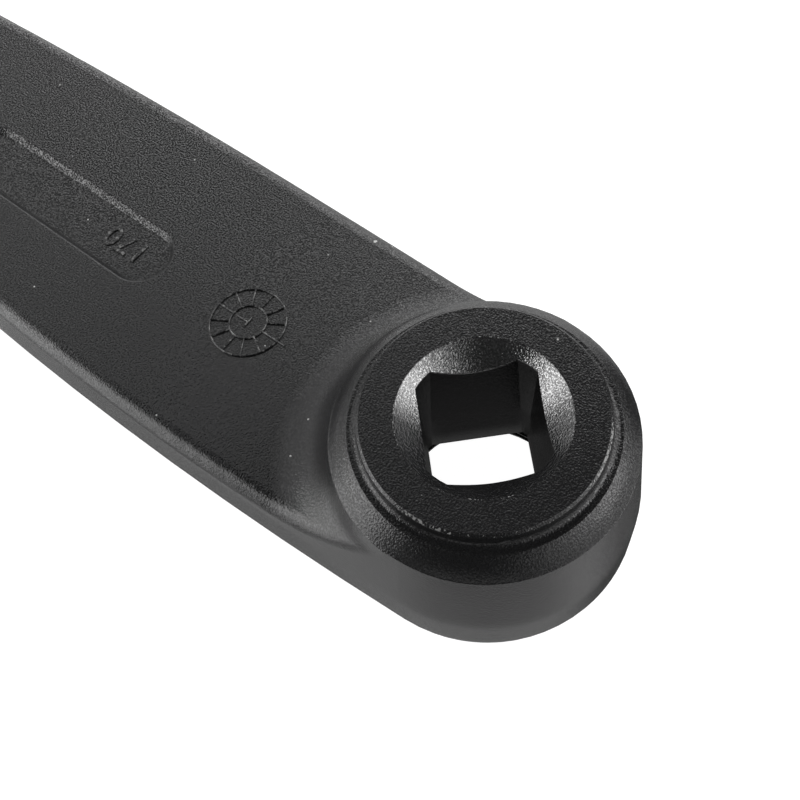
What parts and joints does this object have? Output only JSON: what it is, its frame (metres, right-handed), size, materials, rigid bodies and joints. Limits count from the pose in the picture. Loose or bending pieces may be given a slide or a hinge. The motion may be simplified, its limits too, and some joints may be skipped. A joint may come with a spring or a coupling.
{
  "type": "bicycle crank arm",
  "caption": "Forged bicycle crank arm with a raised round boss, a square taper socket, an extractor thread and a threaded pedal eye.",
  "frame": {"origin": "on the axis of the square socket, in the plane of the flat outer face", "axes": "+X along the arm from the boss to the pedal eye, +Z along the socket's axis towards the bicycle's frame (the inner side), +Y completes a right-handed frame"},
  "size_m": [0.2049, 0.0415, 0.027],
  "materials": {
    "black_paint": "matte black powder paint with a fine grain"
  },
  "bodies": {
    "root": {"crank_arm": "black_paint"}
  },
  "joints": []
}
